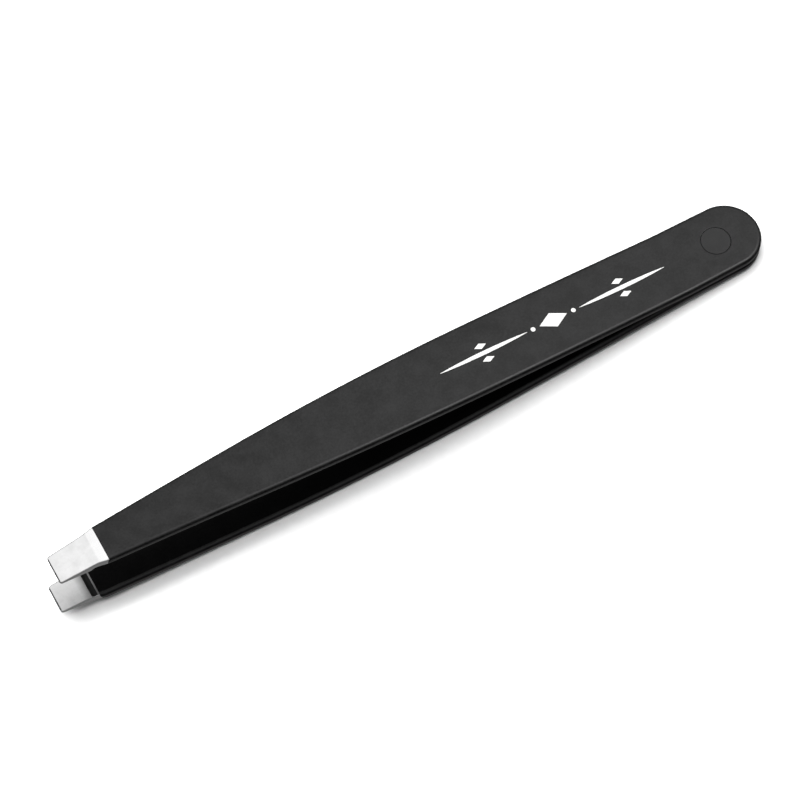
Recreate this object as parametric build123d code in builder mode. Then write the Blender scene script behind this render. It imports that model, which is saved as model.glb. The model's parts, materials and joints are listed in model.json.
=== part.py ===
from build123d import *
import os
from math import asin, atan2, cos, degrees, hypot, radians, sin, tan

# Slant tweezers: two mirror-image spring-steel arms, each with a black coating that stops
# short of its bare tip, held together at the rear by one flush rivet.
#
# Every outline is drawn in two directions: "s" runs from the tip end to the rear end, and
# "n" is the height above the closing plane, where the tips meet. The tweezers lie on one
# arm, so the closing plane is tilted. Row frame: tips toward -X, +Z up, the origin on the
# resting surface under the middle of the tweezers.

# Whole tool
length = 95.0
strip = 1.15                # one arm's thickness over its coating
coat = 0.10                 # thickness of the coating
heel_gap = 0.01             # each arm's inner face, clear of the closing plane at the heel
slant = 3.0                 # degrees that the tip end and the coating's end are off square

# Side profile
bend_s = 83.1               # the bend where the arms leave each other
bend_radius = 20.0          # of the bend, at the inner face
arm_slope = 4.20            # degrees between an arm and the closing plane, past the bend
straight = 24.4             # flat stretch in front of the bend
bow_radius = 715.0          # the bowed stretch in front of that, at the inner face
tip_slope = 0.10            # degrees of slope left where the bow ends
front_run = 14.0            # straight stretch past the bow, trimmed at the tip end
spare = 5.0                 # how far a cutting body reaches past what it cuts

# Plan outline, as half widths
widest_s = 57.0
half_width = 4.50
end_radius = 4.25           # rounded rear end
taper = 3.52                # degrees of each side's taper toward the tip
shoulder_s = 25.6           # where the straight taper ends

# Bare tip
facet_s = 5.0               # ground facet on the outer face, from the tip end to here
tip_outer = 4.02            # n of the tip end's outer and inner edges
tip_inner = 3.70
pad_s = 3.9                 # rear edge of the gripping pad, and its height
pad_inner = 3.55
pad_foot_s = 4.6            # where the pad's steep rear step meets the inner face
pad_root = 4.1              # height inside the strip that the pad grows from
tip_half = 1.80             # half width at the tip end
neck_half = 1.98            # half width where the shoulder behind the tip begins
neck_s = 4.4
neck_end_s = 6.0
neck_rate = (neck_half - tip_half) / neck_s
shoulder_rate = 0.2         # slope of each side where it meets the coated width
shoulder_lift = 0.03        # how far that shoulder is carried past the coated width
corner_radius = 0.30        # tip corners seen from above

# Coating's front end on each arm: s on the outer and on the inner face
upper_coat_end = (6.05, 5.90)
lower_coat_end = (5.20, 4.80)

# Edges and rivet
edge_break = 0.15           # bevel along the edges of the coating
rivet_s = 89.3
rivet_radius = 1.775
rivet_clearance = 0.07
rivet_chamfer = 0.05

# The tilt at rest: the lower arm stands on its bow and on its rear edge, so the resting
# surface is the tangent to the bow's circle from the rear edge's bevel.
slope = radians(arm_slope)
bend_run = bend_radius * tan(slope / 2)
bow_centre_s = bend_s - straight * cos(slope) - bow_radius * sin(slope)
bow_centre_n = straight * sin(slope) - bow_radius * cos(slope)
run = length - edge_break - bow_centre_s
rise = strip - bow_centre_n
rest_tilt = degrees(asin((bow_radius + strip) / hypot(run, rise)) - atan2(rise, run))
tilt = radians(rest_tilt)
rear_height = strip * cos(tilt) - edge_break * sin(tilt)

# Tip end of the closing plane, placed so that the whole tool is centred on X = 0
front_reach = tip_outer * sin(tilt) + tip_half * tan(radians(slant))
rear_reach = length * cos(tilt) + strip * sin(tilt)
tip_x = (front_reach - rear_reach) / 2
tip_z = rear_height + length * sin(tilt)

closing_plane = Plane(
    origin=(tip_x, 0, tip_z),
    x_dir=(cos(tilt), 0, -sin(tilt)),
    z_dir=(sin(tilt), 0, cos(tilt)),
)

# Side profiles are drawn on the far side, square or carried along by the slant, and extruded
# toward the near side.
across_tool = 2 * half_width
slant_shift = half_width * tan(radians(slant))
far_square = Plane(
    origin=closing_plane.from_local_coords((0, half_width, 0)),
    x_dir=closing_plane.x_dir,
    z_dir=(0, -1, 0),
)
far_slanted = Plane(
    origin=closing_plane.from_local_coords((slant_shift, half_width, 0)),
    x_dir=closing_plane.x_dir,
    z_dir=(0, -1, 0),
)
slant_dir = closing_plane.x_dir * -tan(radians(slant)) - closing_plane.y_dir
across_slanted = across_tool / cos(radians(slant))


def face_line(depth):
    """One face of the strip from the rear end to past the tip, depth outside the closing plane."""
    heel = Line((length + spare, depth), (bend_s + bend_run, depth))
    bend = JernArc(
        start=heel @ 1, tangent=heel % 1, radius=bend_radius - depth, arc_size=-arm_slope
    )
    flat = Line(bend @ 1, bend @ 1 + (bend % 1) * (straight - bend_run))
    bow = JernArc(
        start=flat @ 1,
        tangent=flat % 1,
        radius=bow_radius + depth,
        arc_size=arm_slope - tip_slope,
    )
    front = Line(bow @ 1, bow @ 1 + (bow % 1) * front_run)
    return front @ 1


def strip_sketch(inner, outer):
    """Side profile of a bent strip between two depths."""
    with BuildSketch(far_square) as profile:
        with BuildLine():
            low_end = face_line(inner)
            high_end = face_line(outer)
            Line(low_end, high_end)
            Line((length + spare, inner), (length + spare, outer))
        make_face()
    return profile.sketch


def plan_sketch(inset):
    """Plan outline of the tool, inset all round, from past the tip to the rear end."""
    widest = half_width - inset
    shoulder_radius = (widest_s - shoulder_s) / sin(radians(taper)) - inset
    end_centre = length - end_radius
    side_radius = (
        (end_centre - widest_s) ** 2 + half_width**2 - end_radius**2
    ) / (2 * (half_width - end_radius))
    side_turn = degrees(asin((end_centre - widest_s) / (side_radius - end_radius)))
    with BuildSketch(closing_plane) as outline:
        with BuildLine():
            shoulder = JernArc(
                start=(widest_s, widest), tangent=(-1, 0), radius=shoulder_radius, arc_size=taper
            )
            side = Line(shoulder @ 1, shoulder @ 1 + (shoulder % 1) * (shoulder_s + spare))
            rear = JernArc(
                start=(widest_s, widest),
                tangent=(1, 0),
                radius=side_radius - inset,
                arc_size=-side_turn,
            )
            JernArc(
                start=rear @ 1,
                tangent=rear % 1,
                radius=end_radius - inset,
                arc_size=side_turn - 90,
            )
            Line(side @ 1, ((side @ 1).X, 0))
            mirror(about=Plane.XZ)
        make_face()
    return outline.sketch


def front_face_n(s, depth):
    """Height of the strip's face at s, on its straight stretch past the bow."""
    radius = bow_radius + depth
    front = radians(tip_slope)
    end_s = bow_centre_s + radius * sin(front)
    end_n = bow_centre_n + radius * cos(front)
    return end_n + (end_s - s) * tan(front)


def side_half(s, inset):
    """Half width of the plan outline at s, on its straight taper."""
    turn = radians(taper)
    radius = (widest_s - shoulder_s) / sin(turn) - inset
    end_s = widest_s - radius * sin(turn)
    end_half = half_width - inset - radius * (1 - cos(turn))
    return end_half - (end_s - s) * tan(turn)


def flank_sketch(side, margin):
    """What is ground off one side of the bare tip, with its curved shoulder."""
    shift = side * neck_half * tan(radians(slant))
    start = (neck_s + shift, side * (neck_half + margin))
    end_half = side_half(neck_end_s, coat) + shoulder_lift + margin
    end = (neck_end_s + shift, side * end_half)
    outside = side * (half_width + spare)
    with BuildSketch(closing_plane) as flank:
        with BuildLine():
            front = Line((-spare, side * (tip_half + margin - neck_rate * spare)), start)
            Spline(start, end, tangents=[front % 1, (1, side * shoulder_rate)])
            Polyline(end, (end[0], outside), (-spare, outside), front @ 0)
        make_face()
    return flank.sketch


def rim_edges(solid):
    """The edges along a coated or bare strip's outline, on its outer and inner faces."""
    return solid.edges().filter_by(
        lambda edge: abs((edge % 0.5).dot(closing_plane.z_dir)) < 0.2
        and not (edge.geom_type == GeomType.LINE and abs((edge % 0.5).Y) > 0.9)
    )


def tip_corners(arm):
    """The two short edges at the ends of the tip's front edge."""
    front = arm.faces().sort_by(Axis(closing_plane.origin, closing_plane.x_dir))[0]
    return front.edges().filter_by(
        lambda edge: abs((edge % 0.5).dot(closing_plane.z_dir)) > 0.9
    )


# Hole for the rivet, through both arms and their coatings
with BuildPart() as rivet_bore:
    with Locations(closing_plane * Location((rivet_s, 0, 0))):
        Cylinder(rivet_radius + rivet_clearance, 4 * strip)
rivet_hole = rivet_bore.part

# Upper arm: spring steel, with the gripping pad and the ground facet of its bare tip
with BuildPart() as upper_arm:
    extrude(strip_sketch(heel_gap + coat, strip - coat), amount=across_tool)
    extrude(plan_sketch(coat), amount=across_tool, mode=Mode.INTERSECT)
    with BuildSketch(far_slanted):
        Polygon(
            (-spare, tip_inner),
            (0, tip_inner),
            (pad_s, pad_inner),
            (pad_foot_s, pad_root),
            (-spare, pad_root),
            align=None,
        )
    extrude(amount=across_slanted, dir=slant_dir)
    facet_n = front_face_n(facet_s, strip - coat)
    with BuildSketch(far_slanted):
        Polygon(
            (0, 0),
            (0, tip_outer),
            (facet_s, facet_n),
            (facet_s, facet_n + spare),
            (-2 * spare, facet_n + spare),
            (-2 * spare, 0),
            align=None,
        )
    extrude(amount=across_slanted, dir=slant_dir, mode=Mode.SUBTRACT)
    for side in (-1, 1):
        extrude(flank_sketch(side, 0), amount=across_tool, mode=Mode.SUBTRACT)
    fillet(tip_corners(upper_arm), corner_radius)
    add(rivet_hole, mode=Mode.SUBTRACT)
upper_arm.part.label = "upper_arm"


def coating_skin(ends):
    """The upper arm's coating, a thin skin that starts at the given s on its two faces."""
    outer_end, inner_end = ends
    outer_n = front_face_n(outer_end, strip)
    with BuildPart() as skin:
        extrude(strip_sketch(heel_gap, strip), amount=across_tool)
        extrude(plan_sketch(0), amount=across_tool, mode=Mode.INTERSECT)
        chamfer(rim_edges(skin), edge_break)
        with BuildSketch(far_slanted):
            Polygon(
                (inner_end, 0),
                (inner_end, front_face_n(inner_end, 0)),
                (outer_end, outer_n),
                (outer_end, outer_n + spare),
                (-2 * spare, outer_n + spare),
                (-2 * spare, 0),
                align=None,
            )
        extrude(amount=across_slanted, dir=slant_dir, mode=Mode.SUBTRACT)
        for side in (-1, 1):
            extrude(flank_sketch(side, coat), amount=across_tool, mode=Mode.SUBTRACT)
        add(upper_arm.part, mode=Mode.SUBTRACT)
        add(rivet_hole, mode=Mode.SUBTRACT)
    return skin.part


# The lower arm mirrors the upper one in the closing plane
with BuildPart() as lower_arm:
    mirror(upper_arm.part, about=closing_plane)
lower_arm.part.label = "lower_arm"

# Each arm's coating
with BuildPart() as upper_coating:
    add(coating_skin(upper_coat_end))
upper_coating.part.label = "upper_coating"

with BuildPart() as lower_coating:
    mirror(coating_skin(lower_coat_end), about=closing_plane)
lower_coating.part.label = "lower_coating"

# Rivet, flush with both outer faces
with BuildPart() as rear_rivet:
    with Locations(closing_plane * Location((rivet_s, 0, 0))):
        Cylinder(rivet_radius, 2 * strip)
    chamfer(rear_rivet.edges().filter_by(GeomType.CIRCLE), rivet_chamfer)
rear_rivet.part.label = "rear_rivet"

os.makedirs("parts", exist_ok=True)
for piece in (rear_rivet, upper_arm, upper_coating, lower_arm, lower_coating):
    export_step(piece.part, f"parts/{piece.part.label}.step")
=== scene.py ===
import json
from math import asin, atan2, cos, hypot, pi, radians, sin, sqrt, tan

import bmesh
import bpy
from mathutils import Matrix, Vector


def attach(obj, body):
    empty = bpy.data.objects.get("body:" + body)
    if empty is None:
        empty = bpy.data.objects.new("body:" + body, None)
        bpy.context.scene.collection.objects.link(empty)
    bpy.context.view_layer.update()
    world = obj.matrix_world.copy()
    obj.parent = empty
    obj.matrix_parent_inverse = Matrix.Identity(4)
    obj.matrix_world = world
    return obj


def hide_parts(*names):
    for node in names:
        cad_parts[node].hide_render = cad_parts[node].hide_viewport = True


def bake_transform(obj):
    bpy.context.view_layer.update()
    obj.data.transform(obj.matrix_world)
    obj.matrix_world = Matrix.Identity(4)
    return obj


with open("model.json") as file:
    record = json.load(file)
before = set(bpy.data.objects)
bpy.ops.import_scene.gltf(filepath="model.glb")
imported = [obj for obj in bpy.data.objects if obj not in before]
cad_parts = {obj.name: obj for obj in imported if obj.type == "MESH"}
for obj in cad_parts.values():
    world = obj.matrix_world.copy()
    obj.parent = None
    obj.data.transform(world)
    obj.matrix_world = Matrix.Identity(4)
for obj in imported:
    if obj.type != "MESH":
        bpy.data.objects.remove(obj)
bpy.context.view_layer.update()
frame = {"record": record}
record = frame["record"]

# Outlines are in mm: s from the tip end to the rear end, y toward the far side, n above the
# closing plane, where the tips meet. The lower arm mirrors the upper one in that plane.

# Whole tool
LENGTH = 95.0
STRIP = 1.15                    # thickness of a coated arm
COAT = 0.10                     # thickness of its coating
COVERED = 0.105                 # depth of the steel under the coating, just clear of its back
HEEL_GAP = 0.01                 # half the gap between the arms where the rivet holds them
SLANT = tan(radians(3.0))       # how far the tip end leans along the tool, per mm across it
SLANT_FADE = (7.0, 20.0)        # the slant dies away between these distances

# Side profile, from the rear end forward
BEND_S = 83.1                   # the bend in front of the rivet, where the squeeze starts
BEND_RADIUS = 20.0
SLOPE = radians(4.20)           # of the straight part in front of the bend
STRAIGHT = 24.4
BOW_RADIUS = 715.0              # the long bow that brings the arm back toward level
TIP_SLOPE = radians(0.10)       # of the last stretch behind the tip

# Plan outline
WIDEST_S = 57.0
HALF_WIDTH = 4.50
END_RADIUS = 4.25               # the round rear end
TAPER = radians(3.52)           # of the straight sides toward the tip
SHOULDER_S = 25.6               # where those sides start to curve toward the widest place

# Bare tip
FACET_S = 5.0                   # rear edge of the facet ground on the outer face
TIP_OUTER = 4.02                # heights of the facet and of the pad at the tip end
TIP_INNER = 3.70
PAD_S = 3.9                     # rear edge of the gripping pad, and its height there
PAD_INNER = 3.55
PAD_FOOT_S = 4.6                # the steep step behind the pad, and its height at the foot
PAD_ROOT = 4.1
RIM_S = 4.68                    # the inner face is painted in shade up to here, then a thin rim, lighter than the step but still painted darker than bare steel as shade
TIP_HALF = 1.80                 # half widths at the tip end and at the neck
NECK_HALF = 1.98
NECK_S = 4.4
NECK_END_S = 6.0                # where the curved shoulder behind the neck meets the sides
NECK_RATE = (NECK_HALF - TIP_HALF) / NECK_S
SHOULDER_RATE = 0.2             # how fast the shoulder still widens there
SHOULDER_LIFT = 0.03            # how far it stands out from the sides there
CORNER_RADIUS = 0.30            # the tip's corners in plan
UPPER_COAT_END = (6.05, 5.90)   # where each coating ends on the outer and the inner face
LOWER_COAT_END = (5.20, 4.80)

# Edges
COAT_ROUND = 0.34               # edge radius of the coating
STEEL_ROUND = 0.05              # of the bare steel
COVERED_ROUND = 0.15            # of the steel under the coating
ROUND_FADE = (6.2, 8.2)         # the steel's radius grows between these distances
COAT_LIP = 0.4                  # share of its thickness that the coating loses at its front
LEAN_FADE = 3.0                 # the coating's leaning front is made up over this length
SUPPORT = 0.04                  # keeps the flat faces flat beside their rounded edges
CROWN_TILTS = (3, 8, 13, 17)    # degrees the face turns down by, on its way to the edge
CROWN_STEP = 0.19               # length of each of those steps, as a share of the edge radius
ROUND_STEPS = 5                 # facets of the round between the crown and the side
CREASE = 0.015                  # half the width of a crisp crease across the bare tip
SOFT_CREASE = 0.14              # the same for the crease behind the ground facet

# Rivet
RIVET_S = 89.3
RIVET_RADIUS = 1.795
RIVET_EDGE = 0.05               # the head's broken edge, and how deep its middle is dished
RIVET_DISH = 0.012
HOLE_RADIUS = 1.835
HOLE_ROUND = 0.03

# Print on the upper arm
PRINT_S = 66.5                  # middle of the ornament
PRINT_LIFT = 0.004              # clearance above the coating
PRINT_THICK = 0.012

BOW_S = BEND_S - STRAIGHT * cos(SLOPE) - BOW_RADIUS * sin(SLOPE)
BOW_N = STRAIGHT * sin(SLOPE) - BOW_RADIUS * cos(SLOPE)
BEND_CENTRE_S = BEND_S + BEND_RADIUS * tan(SLOPE / 2)
END_CENTRE = LENGTH - END_RADIUS
SHOULDER_RADIUS = (WIDEST_S - SHOULDER_S) / sin(TAPER)
SIDE_RADIUS = ((END_CENTRE - WIDEST_S) ** 2 + HALF_WIDTH**2 - END_RADIUS**2) / (
    2 * (HALF_WIDTH - END_RADIUS)
)

# The closing plane passes through the joints' hinge line. Its tilt is the arm's slope less
# the slope of the flat face that the record gives as the resting face.
hinge = Vector(record["behaviour"]["joints"][0]["pos_m"]) * 1000
tilt = SLOPE - asin(record["mounts"][0]["axis"][0])
along = Vector((cos(tilt), 0, -sin(tilt)))
normal = Vector((sin(tilt), 0, cos(tilt)))


def place(s, y, n):
    """Row-frame point, in metres, of a point given in mm."""
    return (hinge + along * (s - BEND_S) + Vector((0, y, 0)) + normal * n) / 1000


def smoothstep(value, start, end):
    """Rises smoothly from 0 at the start to 1 at the end."""
    t = min(1.0, max(0.0, (value - start) / (end - start)))
    return t * t * (3 - 2 * t)


# ---- outlines ----------------------------------------------------------------------------


def face_n(s, depth):
    """Height of a strip face that lies depth outside the closing plane at the heel."""
    radius = BEND_RADIUS - depth
    if s >= BEND_CENTRE_S:
        return depth
    if s >= BEND_CENTRE_S - radius * sin(SLOPE):
        return BEND_RADIUS - sqrt(radius**2 - (BEND_CENTRE_S - s) ** 2)
    bow = BOW_RADIUS + depth
    if s >= BOW_S + bow * sin(SLOPE):
        return (BEND_S - s) * tan(SLOPE) + depth / cos(SLOPE)
    if s >= BOW_S + bow * sin(TIP_SLOPE):
        return BOW_N + sqrt(bow**2 - (s - BOW_S) ** 2)
    return BOW_N + bow * cos(TIP_SLOPE) + (BOW_S + bow * sin(TIP_SLOPE) - s) * tan(TIP_SLOPE)


def bare_outer_n(s):
    """Outer face of the steel: the ground facet, then the strip."""
    if s >= FACET_S:
        return face_n(s, STRIP - COVERED)
    top = face_n(FACET_S, STRIP - COVERED)
    return TIP_OUTER + (top - TIP_OUTER) * s / FACET_S


def bare_inner_n(s):
    """Inner face of the steel: the gripping pad, its steep rear step, then the strip."""
    face = face_n(s, HEEL_GAP + COVERED)
    if s >= PAD_FOOT_S:
        return face
    if s <= PAD_S:
        return TIP_INNER + (PAD_INNER - TIP_INNER) * s / PAD_S
    step = PAD_INNER + (PAD_ROOT - PAD_INNER) * (s - PAD_S) / (PAD_FOOT_S - PAD_S)
    return min(face, step)


def strip_half(s, inset):
    """Half width of the plan outline in front of the rear end's circle."""
    if s < SHOULDER_S:
        edge = HALF_WIDTH - SHOULDER_RADIUS + SHOULDER_RADIUS * cos(TAPER)
        return edge - (SHOULDER_S - s) * tan(TAPER) - inset / cos(TAPER)
    if s < WIDEST_S:
        radius = SHOULDER_RADIUS - inset
        return HALF_WIDTH - SHOULDER_RADIUS + sqrt(radius**2 - (WIDEST_S - s) ** 2)
    radius = SIDE_RADIUS - inset
    return HALF_WIDTH - SIDE_RADIUS + sqrt(radius**2 - (s - WIDEST_S) ** 2)


def ground_half(s):
    """Half width of the ground sides of the bare tip, with the curved shoulder behind them.

    The shoulder is a cubic from the neck's width and rate of widening to its own.
    """
    if s <= NECK_S:
        return TIP_HALF + NECK_RATE * s
    end = strip_half(NECK_END_S, COAT) + SHOULDER_LIFT
    run = NECK_END_S - NECK_S
    t = min(1.0, (s - NECK_S) / run)
    rise = 3 * t**2 - 2 * t**3
    start_bulge = (t**3 - 2 * t**2 + t) * run * NECK_RATE
    end_bulge = (t**3 - t**2) * run * SHOULDER_RATE
    return NECK_HALF + (end - NECK_HALF) * rise + start_bulge + end_bulge


def half_at(s, inset):
    """Half width of a skin that lies inset within the coating's outline."""
    full = strip_half(s, inset)
    if s >= NECK_END_S:
        return full
    return min(full, ground_half(s) + COAT - inset)


# ---- stations along an arm: (s, half width, outward normal in plan) ---------------------


def side_station(s, inset):
    """Station on the sides, with the normal from the outline's rate of widening."""
    step = 0.01
    rate = (half_at(s + step, inset) - half_at(s - step, inset)) / (2 * step)
    size = hypot(1, rate)
    return (s, half_at(s, inset), -rate / size, 1 / size)


def arc_station(angle, centre, centre_half, radius):
    """Station on a plan arc: angle 0 is square to the tool and pi/2 faces the rear."""
    return (
        centre + radius * sin(angle),
        centre_half + radius * cos(angle),
        sin(angle),
        cos(angle),
    )


# The mesh has a block of square cells round the rivet, where the hole replaces some of them.
HOLE_CELLS = 16
HOLE_REACH = 2.2
BLOCK_START = RIVET_S - HOLE_REACH


def run_of(start, end, step):
    """Even steps from start, about as long as step, with the end left out."""
    count = max(1, round((end - start) / step))
    return [start + (end - start) * i / count for i in range(count)]


def arm_stations(front, inset):
    """Stations from front to the rear apex, and the index of the first one at the hole."""
    fine, coarse = 0.2, 1.2
    bend_from, bend_to = BEND_S - 1.6, BEND_S + 1.0
    marks = [front]
    for s in (front + 0.05, 6.6, 10, 12, bend_from, bend_to, BLOCK_START):
        if s > front:
            step = fine if s < 7 or s == bend_to else coarse
            marks += run_of(marks[-1], s, step)[1:] + [s]
    first = len(marks) - 1
    marks += [BLOCK_START + 2 * HOLE_REACH * i / HOLE_CELLS for i in range(1, HOLE_CELLS + 1)]
    radius = END_RADIUS - inset
    angles = [asin((s - END_CENTRE) / radius) for s in marks if s >= END_CENTRE]
    last = angles[-1]
    steps = 18
    angles += [last + (pi / 2 - last) * i / steps for i in range(1, steps + 1)]
    stations = [side_station(s, inset) for s in marks if s < END_CENTRE]
    stations += [arc_station(angle, END_CENTRE, 0, radius) for angle in angles]
    return stations, first


def bare_stations(inset):
    """Stations of a steel arm: the rounded tip corner, the ground sides, then the strip."""
    corner_half = TIP_HALF - CORNER_RADIUS
    stations = []
    steps = 6
    for i in range(steps):
        angle = -pi / 2 + pi / 2 * i / steps
        stations.append(arc_station(angle, CORNER_RADIUS, corner_half, CORNER_RADIUS))
    marks = [CORNER_RADIUS]
    for s in (PAD_S, pad_foot(), RIM_S, FACET_S):
        marks += run_of(marks[-1], s - CREASE, 0.3)[1:] + [s - CREASE, s + CREASE]
    marks[-2:] = [FACET_S - SOFT_CREASE, FACET_S, FACET_S + SOFT_CREASE]
    front = marks.pop()
    rest, first = arm_stations(front, inset)
    stations += [side_station(s, inset) for s in marks]
    return stations + rest, first + len(stations)


def pad_foot():
    """Where the gripping pad's rear step meets the inner face."""
    low, high = PAD_S, PAD_FOOT_S
    for _ in range(40):
        middle = (low + high) / 2
        if bare_inner_n(middle) < face_n(middle, HEEL_GAP + COVERED) - 1e-9:
            low = middle
        else:
            high = middle
    return high


# ---- cross section ------------------------------------------------------------------------

# Where the points of a face lie across it, from far (1) to near (-1). The even ones in the
# middle border the block of cells round the rivet.
COLUMNS = [1, 0.88, 0.74] + [0.56 - 1.12 * i / 12 for i in range(13)] + [-0.74, -0.88, -1]
HOLE_COLUMNS = range(3, 16)


def rim(radius):
    """(inset, drop) of the points from a flat face to the side wall: a low crown, then a round."""
    steps = [(CROWN_STEP * radius, tilt) for tilt in CROWN_TILTS]
    start = CROWN_TILTS[-1]
    turn = (90 - start) / ROUND_STEPS
    chord = 2 * radius * sin(radians(turn) / 2)
    steps += [(chord, start + turn * (k + 0.5)) for k in range(ROUND_STEPS)]
    reach = sum(size * cos(radians(tilt)) for size, tilt in steps)
    points = [(reach, 0.0)]
    for size, tilt in steps:
        inset, drop = points[-1]
        points.append((inset - size * cos(radians(tilt)), drop + size * sin(radians(tilt))))
    points[-1] = (0.0, points[-1][1])
    return points


class Section:
    """Heights and edge radius of one arm's skin, and how its front end leans."""

    def __init__(self, outer_n, inner_n, round_at, lean=0.0, front=0.0):
        self.outer_n = outer_n
        self.inner_n = inner_n
        self.round_at = round_at
        self.lean = lean
        self.front = front

    def point(self, station, across, inset, level):
        """across runs from -1 at the near edge to 1; level is (from the outer face?, drop)."""
        s, half, normal_s, normal_y = station
        from_outer, drop = level
        s -= inset * normal_s
        y = across * (half - inset * normal_y)
        n = self.outer_n(s) - drop if from_outer else self.inner_n(s) + drop
        if self.lean:
            share_down = (self.outer_n(s) - n) / (self.outer_n(s) - self.inner_n(s))
            fade = 1 - smoothstep(s, self.front, self.front + LEAN_FADE)
            s += self.lean * share_down * fade
        s += y * SLANT * (1 - smoothstep(s, *SLANT_FADE))
        return Vector((s, y, n))

    def loop(self, station):
        """Closed loop: outer face far to near, near side, inner face back, far side."""
        radius = self.round_at(station[0])
        edge = rim(radius)
        flat = edge[0][0] + SUPPORT
        points = [self.point(station, f, flat, (True, 0)) for f in COLUMNS]
        points += [self.point(station, -1, i, (True, d)) for i, d in edge]
        points += [self.point(station, -1, i, (False, d)) for i, d in reversed(edge)]
        points += [self.point(station, -f, flat, (False, 0)) for f in COLUMNS]
        points += [self.point(station, 1, i, (False, d)) for i, d in edge]
        points += [self.point(station, 1, i, (True, d)) for i, d in reversed(edge)]
        return points


OUTER_ROW = 0
SIDE_POINTS = 2 * (len(CROWN_TILTS) + ROUND_STEPS + 1)
INNER_ROW = len(COLUMNS) + SIDE_POINTS
LOOP_SIZE = 2 * INNER_ROW


def is_hole_cell(i, j, first):
    """Whether the cell behind station i and after loop point j is cut away for the rivet."""
    if not first <= i < first + HOLE_CELLS:
        return False
    return HOLE_COLUMNS[0] <= j % INNER_ROW < HOLE_COLUMNS[-1]


def skin(mesh, stations, first, section, zone_of):
    """Adds a skin with a square opening at the rivet on each face. Returns its loops."""
    loops = [[mesh.verts.new(p) for p in section.loop(st)] for st in stations]
    for i in range(len(loops) - 1):
        for j in range(LOOP_SIZE):
            if is_hole_cell(i, j, first):
                continue
            k = (j + 1) % LOOP_SIZE
            cell = mesh.faces.new((loops[i][j], loops[i][k], loops[i + 1][k], loops[i + 1][j]))
            middle = (stations[i][0] + stations[i + 1][0]) / 2
            cell.material_index = zone_of(middle, j)
    return loops


def opening(loops, first, row):
    """The vertices round the square opening, in order."""
    last = first + HOLE_CELLS
    low, high = row + HOLE_COLUMNS[0], row + HOLE_COLUMNS[-1]
    ring = [loops[i][low] for i in range(first, last)]
    ring += [loops[last][j] for j in range(low, high)]
    ring += [loops[i][high] for i in range(last, first, -1)]
    ring += [loops[first][j] for j in range(high, low, -1)]
    return ring


def ring_at(mesh, ring, radius, height):
    """A ring on a circle round the rivet, opposite the vertices of another ring."""
    made = []
    for vert in ring:
        angle = atan2(vert.co.y, vert.co.x - RIVET_S)
        s = RIVET_S + radius * cos(angle)
        made.append(mesh.verts.new((s, radius * sin(angle), height)))
    return made


def join_rings(mesh, a, b):
    for i in range(len(a)):
        k = (i + 1) % len(a)
        mesh.faces.new((a[i], a[k], b[k], b[i]))


def bored_edge(mesh, loops, first, row, height, inward):
    """Closes a square opening to the round hole. Returns the ring inside the hole's edge.

    inward is the way from this face into the arm, 1 for up and -1 for down, or 0 to keep the
    ring level with the face.
    """
    square = opening(loops, first, row)
    outer = ring_at(mesh, square, HOLE_RADIUS + HOLE_ROUND + SUPPORT, height)
    edge = ring_at(mesh, square, HOLE_RADIUS + HOLE_ROUND, height)
    cut = HOLE_ROUND * 0.3
    half_way = ring_at(mesh, square, HOLE_RADIUS + cut, height + inward * cut)
    inside = ring_at(mesh, square, HOLE_RADIUS, height + inward * HOLE_ROUND)
    for a, b in ((square, outer), (outer, edge), (edge, half_way), (half_way, inside)):
        join_rings(mesh, a, b)
    return inside


def front_cap(mesh, section, station, material):
    """Closes the tip's front end with a grid whose rim lies on the first loop's points."""
    edge = rim(section.round_at(station[0]))
    levels = [(i, (True, d)) for i, d in edge]
    levels += [(i, (False, d)) for i, d in reversed(edge)]
    flat = edge[0][0] + SUPPORT
    levels = [(flat, (True, 0))] + levels + [(flat, (False, 0))]
    grid = [
        [mesh.verts.new(section.point(station, f, i, level)) for f in COLUMNS]
        for i, level in levels
    ]
    for a, b in zip(grid, grid[1:]):
        for j in range(len(COLUMNS) - 1):
            face = mesh.faces.new((a[j], b[j], b[j + 1], a[j + 1]))
            face.material_index = material


def finish_mesh(mesh, name, materials, lower=False):
    """Makes the object from a mesh in mm, mirrored in the closing plane for the lower arm."""
    merge = 0.0005
    sharp = radians(30)
    bmesh.ops.remove_doubles(mesh, verts=mesh.verts, dist=merge)
    bmesh.ops.dissolve_degenerate(mesh, edges=mesh.edges, dist=merge)
    loose = [v for v in mesh.verts if not v.link_faces]
    bmesh.ops.delete(mesh, geom=loose, context="VERTS")
    for vert in mesh.verts:
        s, y, n = vert.co
        vert.co = place(s, y, -n if lower else n)
    bmesh.ops.recalc_face_normals(mesh, faces=mesh.faces)
    data = bpy.data.meshes.new(name)
    mesh.to_mesh(data)
    mesh.free()
    for material in materials:
        data.materials.append(material)
    data.shade_smooth()
    data.set_sharp_from_angle(angle=sharp)
    piece = bpy.data.objects.new(name, data)
    bpy.context.scene.collection.objects.link(piece)
    return piece


# ---- materials ----------------------------------------------------------------------------


def new_material(name):
    material = bpy.data.materials.new(name)
    material.use_nodes = True
    nodes = material.node_tree.nodes
    return material, nodes, material.node_tree.links, nodes["Principled BSDF"]


def noise(nodes, links, coords, scale, detail, roughness, stretch=None):
    """A noise texture on the row frame's coordinates, in cycles per metre.

    A stretch is a scale for each axis, where less than 1 draws the pattern out along it.
    """
    texture = nodes.new("ShaderNodeTexNoise")
    texture.inputs["Scale"].default_value = scale
    texture.inputs["Detail"].default_value = detail
    texture.inputs["Roughness"].default_value = roughness
    if stretch:
        mapping = nodes.new("ShaderNodeMapping")
        mapping.inputs["Scale"].default_value = stretch
        links.new(coords, mapping.inputs["Vector"])
        coords = mapping.outputs["Vector"]
    links.new(coords, texture.inputs["Vector"])
    return texture.outputs["Fac"]


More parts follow.
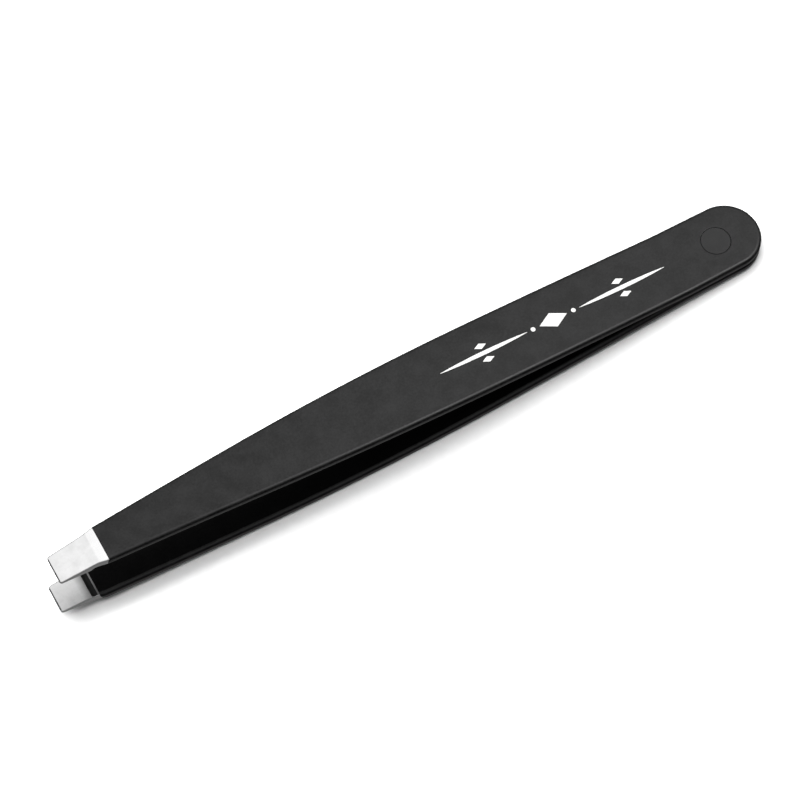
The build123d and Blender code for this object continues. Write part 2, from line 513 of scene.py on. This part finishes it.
def spread(nodes, links, value, low, high, start=0.35, end=0.65):
    """Maps a value from start..end to low..high."""
    remap = nodes.new("ShaderNodeMapRange")
    remap.inputs["From Min"].default_value = start
    remap.inputs["From Max"].default_value = end
    remap.inputs["To Min"].default_value = low
    remap.inputs["To Max"].default_value = high
    links.new(value, remap.inputs["Value"])
    return remap.outputs["Result"]


def ramp(nodes, links, value, low, high, start=0.35, end=0.65):
    """Maps a value from start..end to a colour between low and high."""
    colours = nodes.new("ShaderNodeValToRGB")
    colours.color_ramp.elements[0].position = start
    colours.color_ramp.elements[0].color = (*low, 1)
    colours.color_ramp.elements[1].position = end
    colours.color_ramp.elements[1].color = (*high, 1)
    links.new(value, colours.inputs["Fac"])
    return colours.outputs["Color"]


def blended(nodes, links, first, second, share):
    """Mixes two noise values, with the given share of the second."""
    mix = nodes.new("ShaderNodeMix")
    mix.inputs["Factor"].default_value = share
    links.new(first, mix.inputs["A"])
    links.new(second, mix.inputs["B"])
    return mix.outputs["Result"]


def bump(nodes, links, height, strength, distance, normal=None):
    node = nodes.new("ShaderNodeBump")
    node.inputs["Strength"].default_value = strength
    node.inputs["Distance"].default_value = distance
    links.new(height, node.inputs["Height"])
    if normal is not None:
        links.new(normal, node.inputs["Normal"])
    return node.outputs["Normal"]


def coordinates(nodes):
    return nodes.new("ShaderNodeTexCoord").outputs["Object"]


def grey(value):
    return (value, value, value)


def coating_material(name, tones, rough, index):
    """Matte black coating with a fine satin grain and faint clouding."""
    material, nodes, links, shader = new_material(name)
    coords = coordinates(nodes)
    grain = noise(nodes, links, coords, scale=4200, detail=3.0, roughness=0.65)
    cloud = noise(nodes, links, coords, scale=420, detail=4.0, roughness=0.6)
    handling = noise(nodes, links, coords, scale=60, detail=3.0, roughness=0.5)
    low, high = tones
    blue = 1.03
    speckle = blended(nodes, links, grain, cloud, 0.45)
    darkest, lightest = (low, low, low * blue), (high, high, high * blue)
    tone = ramp(nodes, links, speckle, darkest, lightest, 0.4, 0.6)
    links.new(tone, shader.inputs["Base Color"])
    worn = blended(nodes, links, handling, cloud, 0.5)
    links.new(spread(nodes, links, worn, *rough), shader.inputs["Roughness"])
    shader.inputs["IOR"].default_value = index
    coarse = bump(nodes, links, cloud, strength=0.10, distance=0.00002)
    fine = bump(nodes, links, grain, strength=0.40, distance=0.000012, normal=coarse)
    links.new(fine, shader.inputs["Normal"])
    return material


PAINTED_SHADE_KEPT = 0.25                    # share of its tone that the steel keeps where it is painted in shade


def steel_material(name, tones, rough, grain_strength, stretch=None, fade=None):
    """Bare steel with a tone range, a roughness range and a fine ground grain.

    A fade is the two distances from the tip end between which painted shade darkens the steel.
    """
    material, nodes, links, shader = new_material(name)
    coords = coordinates(nodes)
    mottle = noise(nodes, links, coords, scale=700, detail=4.0, roughness=0.6)
    grain = noise(nodes, links, coords, scale=3800, detail=2.0, roughness=0.6, stretch=stretch)
    low, high = tones
    colour = ramp(nodes, links, mottle, grey(low), grey(high))
    # Painted shade: the tone falls off along the tool between the fade's two distances.
    if fade:
        split = nodes.new("ShaderNodeSeparateXYZ")
        links.new(coords, split.inputs[0])
        start, end = (place(s, 0, 0)[0] for s in fade)
        shade = nodes.new("ShaderNodeHueSaturation")
        kept = spread(nodes, links, split.outputs["X"], 1.0, PAINTED_SHADE_KEPT, start, end)
        links.new(kept, shade.inputs["Value"])
        links.new(colour, shade.inputs["Color"])
        colour = shade.outputs["Color"]
    links.new(colour, shader.inputs["Base Color"])
    links.new(spread(nodes, links, mottle, *rough), shader.inputs["Roughness"])
    shader.inputs["Metallic"].default_value = 1.0
    ground = bump(nodes, links, grain, strength=grain_strength, distance=0.000008)
    links.new(ground, shader.inputs["Normal"])
    return material


def print_material():
    """Off-white pad print, slightly uneven where it took to the coating."""
    material, nodes, links, shader = new_material("white_print")
    coords = coordinates(nodes)
    uneven = noise(nodes, links, coords, scale=2600, detail=3.0, roughness=0.6)
    tone = ramp(nodes, links, uneven, (0.46, 0.46, 0.45), (0.66, 0.66, 0.65))
    links.new(tone, shader.inputs["Base Color"])
    links.new(spread(nodes, links, uneven, 0.5, 0.62), shader.inputs["Roughness"])
    relief = bump(nodes, links, uneven, strength=0.2, distance=0.000006)
    links.new(relief, shader.inputs["Normal"])
    return material


def rivet_material():
    """The rivet's head: the same black finish over faint turning rings."""
    material, nodes, links, shader = new_material("black_rivet_head")
    coords = coordinates(nodes)
    centre = nodes.new("ShaderNodeMapping")
    centre.inputs["Location"].default_value = -place(RIVET_S, 0, 0)
    links.new(coords, centre.inputs["Vector"])
    rings = nodes.new("ShaderNodeTexWave")
    rings.wave_type = "RINGS"
    rings.rings_direction = "Z"
    rings.inputs["Scale"].default_value = 2600
    rings.inputs["Distortion"].default_value = 0.6
    links.new(centre.outputs["Vector"], rings.inputs["Vector"])
    grain = noise(nodes, links, coords, scale=5200, detail=2.0, roughness=0.6)
    cloud = noise(nodes, links, coords, scale=900, detail=3.0, roughness=0.6)
    tone = ramp(nodes, links, cloud, (0.0050, 0.0050, 0.0051), (0.0072, 0.0072, 0.0074))
    links.new(tone, shader.inputs["Base Color"])
    links.new(spread(nodes, links, cloud, 0.40, 0.50), shader.inputs["Roughness"])
    shader.inputs["IOR"].default_value = 1.38
    turned = bump(nodes, links, rings.outputs["Fac"], strength=0.06, distance=0.00001)
    fine = bump(nodes, links, grain, strength=0.25, distance=0.00001, normal=turned)
    links.new(fine, shader.inputs["Normal"])
    return material


# Each coating: name, darkest and lightest tone, range of roughness, index of refraction
coating = coating_material("satin_black_coating", (0.0004, 0.0056), (0.32, 0.43), 1.39)
# The arms' inner faces get a darker, less reflective copy of the coating: painted shade that keeps
# the gap between the arms black.
inside_painted_shade_coating = coating_material("black_inside_painted_shade", (0.0004, 0.0012), (0.50, 0.58), 1.13)

# Each steel: name, range of tone, range of roughness, strength of its grain and its stretch
facet_steel = steel_material("ground_facet_steel", (0.82, 0.97), (0.28, 0.42), 0.80)
# The gripping pad's steel darkens toward its rear step: painted shade from the other arm over its
# rear part.
grip_steel = steel_material("grip_facet_painted_shade", (0.74, 0.92), (0.32, 0.46), 0.80, fade=(2.7, 3.9))
band_steel = steel_material("polished_band_steel", (0.92, 0.96), (0.14, 0.20), 0.05)
side_steel = steel_material("ground_side_steel", (0.46, 0.56), (0.34, 0.44), 0.25, (1, 1, 0.2))
# The steep step behind the pad is a near-black copy of the steel: painted shade on a face that
# turns away from the light.
step_steel = steel_material("ground_step_painted_shade", (0.015, 0.03), (0.45, 0.55), 0.25, (1, 0.15, 1))
# The thin rim behind the step is a darkened copy of the steel: painted shade, not a darker finish.
rim_steel = steel_material("thin_rim_painted_shade", (0.15, 0.21), (0.30, 0.38), 0.15)
# The tip's front end and its edges are a near-black copy of the steel: painted shade for the dark
# outline along the tip's front.
edge_steel = steel_material("broken_edge_painted_shade", (0.05, 0.09), (0.30, 0.40), 0.15)
STEELS = [side_steel, facet_steel, band_steel, grip_steel, step_steel, rim_steel, edge_steel]
SIDE, FACET, BAND, GRIP, STEP, RIM, EDGE = range(7)


# ---- the two arms -------------------------------------------------------------------------


def steel_zone(s, j):
    """Material of a steel cell, by its place on the loop and along the tool."""
    last = len(COLUMNS) - 1
    if j < last:
        return FACET if s < FACET_S else BAND
    if INNER_ROW <= j < INNER_ROW + last:
        # The pad's steel carries painted shade toward its rear step.
        if s < PAD_S:
            return GRIP
        # The step and the rim are darkened copies of the steel: painted shade.
        return STEP if s < RIM_S else RIM
    return SIDE


def steel_round(s):
    """Edge radius of the steel: fine at the ground tip, larger under the coating."""
    return STEEL_ROUND + (COVERED_ROUND - STEEL_ROUND) * smoothstep(s, *ROUND_FADE)


def steel_arm(name, lower):
    """One arm's steel strip, with its bare tip and the hole for the rivet."""
    mesh = bmesh.new()
    stations, first = bare_stations(COVERED)
    section = Section(bare_outer_n, bare_inner_n, steel_round)
    loops = skin(mesh, stations, first, section, steel_zone)
    # The front end gets the near-black steel, painted shade.
    front_cap(mesh, section, stations[0], EDGE)
    top = bored_edge(mesh, loops, first, OUTER_ROW, STRIP - COVERED, -1)
    bottom = bored_edge(mesh, loops, first, INNER_ROW, HEEL_GAP + COVERED, 1)
    join_rings(mesh, top, matched(top, bottom))
    return finish_mesh(mesh, name, STEELS, lower)


def matched(ring, other):
    """The other ring's vertices, each in the place of the one it lies over or under."""
    return [min(other, key=lambda v: (v.co.xy - vert.co.xy).length) for vert in ring]


def coat_zone(s, j):
    """Material of a coating cell: on the arm's inner face, a darker copy of the coating, painted
    shade for the gap between the arms.
    """
    return 1 if INNER_ROW <= j < INNER_ROW + len(COLUMNS) - 1 else 0


def coat_skin(mesh, ends, inset):
    """The coating's outer skin, or its inner skin at an inset. Returns its front and holes."""
    outer_end, inner_end = ends
    stations, first = arm_stations(outer_end, inset)
    section = Section(
        lambda s: face_n(s, STRIP - inset),
        lambda s: face_n(s, HEEL_GAP + inset),
        lambda s: COAT_ROUND - inset,
        inner_end - outer_end,
        outer_end,
    )
    loops = skin(mesh, stations, first, section, coat_zone)
    inward = 0 if inset else 1
    top = bored_edge(mesh, loops, first, OUTER_ROW, STRIP - inset, -inward)
    bottom = bored_edge(mesh, loops, first, INNER_ROW, HEEL_GAP + inset, inward)
    return loops[0], top, bottom


def coating_piece(name, ends, lower):
    """One arm's coating, a closed shell with its two skins joined at the front and the hole."""
    mesh = bmesh.new()
    outer_front, outer_top, outer_bottom = coat_skin(mesh, ends, 0)
    inner_front, inner_top, inner_bottom = coat_skin(mesh, ends, COAT)
    for vert, under in zip(outer_front, inner_front):
        vert.co = vert.co.lerp(under.co, COAT_LIP)
    join_rings(mesh, outer_front, inner_front)
    join_rings(mesh, outer_top, matched(outer_top, inner_top))
    join_rings(mesh, outer_bottom, matched(outer_bottom, inner_bottom))
    return finish_mesh(mesh, name, [coating, inside_painted_shade_coating], lower)


def circle(radius, sides):
    angles = [2 * pi * i / sides for i in range(sides)]
    return [(radius * cos(angle), radius * sin(angle)) for angle in angles]


def rivet_piece():
    """The rivet: a turned shank with a softly broken edge and a faintly dished head."""
    mesh = bmesh.new()
    bottom = STRIP - RIVET_DISH
    flat = RIVET_RADIUS - RIVET_EDGE
    profile = [(0, bottom), (0.5, bottom), (1.1, STRIP - RIVET_DISH * 0.6)]
    profile += [(1.5, STRIP - 0.001), (flat - 0.02, STRIP)]
    steps = 4
    for k in range(steps + 1):
        angle = pi / 2 * (1 - k / steps)
        profile.append((flat + RIVET_EDGE * cos(angle), STRIP - RIVET_EDGE * (1 - sin(angle))))
    profile += [(r, -n) for r, n in reversed(profile)]
    sides = 96
    rings = []
    for r, n in profile:
        if r == 0:
            rings.append([mesh.verts.new((RIVET_S, 0, n))] * sides)
            continue
        points = [(RIVET_S + s, y, n) for s, y in circle(r, sides)]
        rings.append([mesh.verts.new(point) for point in points])
    for a, b in zip(rings, rings[1:]):
        for i in range(sides):
            k = (i + 1) % sides
            corners = dict.fromkeys((a[i], a[k], b[k], b[i]))
            mesh.faces.new(list(corners))
    return finish_mesh(mesh, "rivet_head", [rivet_material()])


# ---- the print on the upper arm ---------------------------------------------------------


def print_base(s):
    return face_n(s, STRIP) + PRINT_LIFT


def printed_patch(mesh, outline):
    """A thin raised print with the given outline of (s, y) points, in convex order."""
    low = [mesh.verts.new((s, y, print_base(s))) for s, y in outline]
    high = [mesh.verts.new((s, y, print_base(s) + PRINT_THICK)) for s, y in outline]
    mesh.faces.new(high)
    mesh.faces.new(list(reversed(low)))
    join_rings(mesh, low, high)


def tapered_rule(mesh, start, end, thickest):
    """A hairline that swells toward its middle and comes to a point at each end."""
    steps = 24
    thinnest = 0.02
    rows = []
    for i in range(steps + 1):
        t = i / steps
        s = start + (end - start) * t
        half = max(thinnest, thickest / 2 * sin(pi * t) ** 0.7)
        low = print_base(s)
        high = low + PRINT_THICK
        corners = ((-half, low), (half, low), (half, high), (-half, high))
        rows.append([mesh.verts.new((s, y, n)) for y, n in corners])
    for a, b in zip(rows, rows[1:]):
        join_rings(mesh, a, b)
    mesh.faces.new(rows[0])
    mesh.faces.new(list(reversed(rows[-1])))


def diamond(mesh, s, y, long_half, short_half):
    ends = [(-long_half, 0), (0, -short_half), (long_half, 0), (0, short_half)]
    printed_patch(mesh, [(s + ahead, y + across) for ahead, across in ends])


def dot(mesh, s, radius):
    printed_patch(mesh, [(s + ahead, across) for ahead, across in circle(radius, 20)])


def ornament():
    """A row of diamonds, dots and rules where the real one has its print."""
    mesh = bmesh.new()
    diamond(mesh, PRINT_S, 0, 1.9, 1.0)
    for side in (-1, 1):
        tapered_rule(mesh, PRINT_S + side * 3.6, PRINT_S + side * 15.5, 0.5)
        dot(mesh, PRINT_S + side * 2.8, 0.28)
        for across in (0.95, -0.95):
            diamond(mesh, PRINT_S + side * 9.5, across, 0.8, 0.38)
    return finish_mesh(mesh, "printed_ornament", [print_material()])


# ---- build, hide the CAD nodes the pieces replace, and attach the rivet to its body -----


def tie(piece, node=None):
    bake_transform(piece)
    if node:
        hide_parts(node)


tie(steel_arm("upper_steel_arm", False), "upper_arm")
tie(steel_arm("lower_steel_arm", True), "lower_arm")
tie(coating_piece("upper_arm_coat", UPPER_COAT_END, False), "upper_coating")
tie(coating_piece("lower_arm_coat", LOWER_COAT_END, True), "lower_coating")
tie(ornament())

rivet = rivet_piece()
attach(rivet, "heel")
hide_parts("rear_rivet")


# ---- floor, light and camera ------------------------------------------------------------


def floor_material():
    material, nodes, links, shader = new_material("pale_paper_floor")
    coords = coordinates(nodes)
    fibre = noise(nodes, links, coords, scale=900, detail=3.0, roughness=0.5)
    links.new(ramp(nodes, links, fibre, grey(0.89), grey(0.91)), shader.inputs["Base Color"])
    shader.inputs["Roughness"].default_value = 0.95
    shader.inputs["Specular IOR Level"].default_value = 0.0
    return material


def add_floor():
    data = bpy.data.meshes.new("floor")
    half = 0.5
    depth = -0.00001
    signs = ((-1, -1), (1, -1), (1, 1), (-1, 1))
    corners = [(half * x, half * y, depth) for x, y in signs]
    data.from_pydata(corners, [], [(0, 1, 2, 3)])
    data.materials.append(floor_material())
    floor = bpy.data.objects.new("floor", data)
    bpy.context.scene.collection.objects.link(floor)
    floor.visible_glossy = False


def add_area(name, direction, distance, size, energy, glossy=True, diffuse=True):
    """A round soft light at a distance from the origin, facing it."""
    data = bpy.data.lights.new(name, "AREA")
    data.shape = "DISK"
    data.size = size
    data.energy = energy
    light = bpy.data.objects.new(name, data)
    towards = Vector(direction).normalized()
    light.location = towards * distance
    light.rotation_mode = "QUATERNION"
    light.rotation_quaternion = towards.to_track_quat("Z", "Y")
    light.visible_glossy = glossy
    light.visible_diffuse = diffuse
    bpy.context.scene.collection.objects.link(light)


def facing(nodes, links, direction, toward):
    """How much a direction points toward another one, from -1 to 1."""
    product = nodes.new("ShaderNodeVectorMath")
    product.operation = "DOT_PRODUCT"
    product.inputs[1].default_value = Vector(toward).normalized()
    links.new(direction, product.inputs[0])
    return product.outputs["Value"]


def add_world(brightest, toward, darkest, from_floor):
    """A studio that is bright above and behind, dark in front, and grey below.

    The camera sees plain white behind everything.
    """
    world = bpy.data.worlds.new("white_studio")
    world.use_nodes = True
    nodes, links = world.node_tree.nodes, world.node_tree.links
    background = nodes["Background"]
    background.inputs["Color"].default_value = (1, 1, 1, 1)
    coords = nodes.new("ShaderNodeTexCoord")
    toward_light = facing(nodes, links, coords.outputs["Generated"], toward)
    above = spread(nodes, links, toward_light, darkest, brightest, 0.35, 0.95)
    toward_floor = facing(nodes, links, coords.outputs["Generated"], (0, 0, -1))
    below = spread(nodes, links, toward_floor, 0.0, from_floor, 0.4, 0.9)
    both = nodes.new("ShaderNodeMath")
    both.operation = "ADD"
    links.new(above, both.inputs[0])
    links.new(below, both.inputs[1])
    path = nodes.new("ShaderNodeLightPath")
    seen = nodes.new("ShaderNodeMix")
    links.new(path.outputs["Is Camera Ray"], seen.inputs["Factor"])
    links.new(both.outputs["Value"], seen.inputs["A"])
    seen.inputs["B"].default_value = 1.0
    links.new(seen.outputs["Result"], background.inputs["Strength"])
    bpy.context.scene.world = world


def add_camera():
    """The photo's camera, fitted to the outline of the tool."""
    azimuth = radians(-31.05)
    elevation = radians(64.15)
    field = radians(10.0)
    distance = 0.5343
    target = Vector((-0.00019, 0.00241, -0.00002))
    level = cos(elevation)
    back = Vector((sin(azimuth) * level, -cos(azimuth) * level, sin(elevation)))
    data = bpy.data.cameras.new("camera")
    data.sensor_width = 36.0
    data.lens = data.sensor_width / 2 / tan(field / 2)
    data.clip_start = 0.01
    camera = bpy.data.objects.new("camera", data)
    camera.location = target + back * distance
    camera.rotation_mode = "QUATERNION"
    camera.rotation_quaternion = back.to_track_quat("Z", "Y")
    bpy.context.scene.collection.objects.link(camera)
    bpy.context.scene.camera = camera


add_floor()
add_world(brightest=1.02, toward=(0.27, 0.38, 0.88), darkest=0.05, from_floor=0.30)
add_area("key", (-0.20, 0.55, 1.25), 0.6, size=1.0, energy=11.0, glossy=False)
add_area("right_softbox", (0.52, -0.02, 0.86), 0.6, size=0.20, energy=1.15, diffuse=False)
add_camera()
bpy.context.scene.view_settings.view_transform = "Standard"
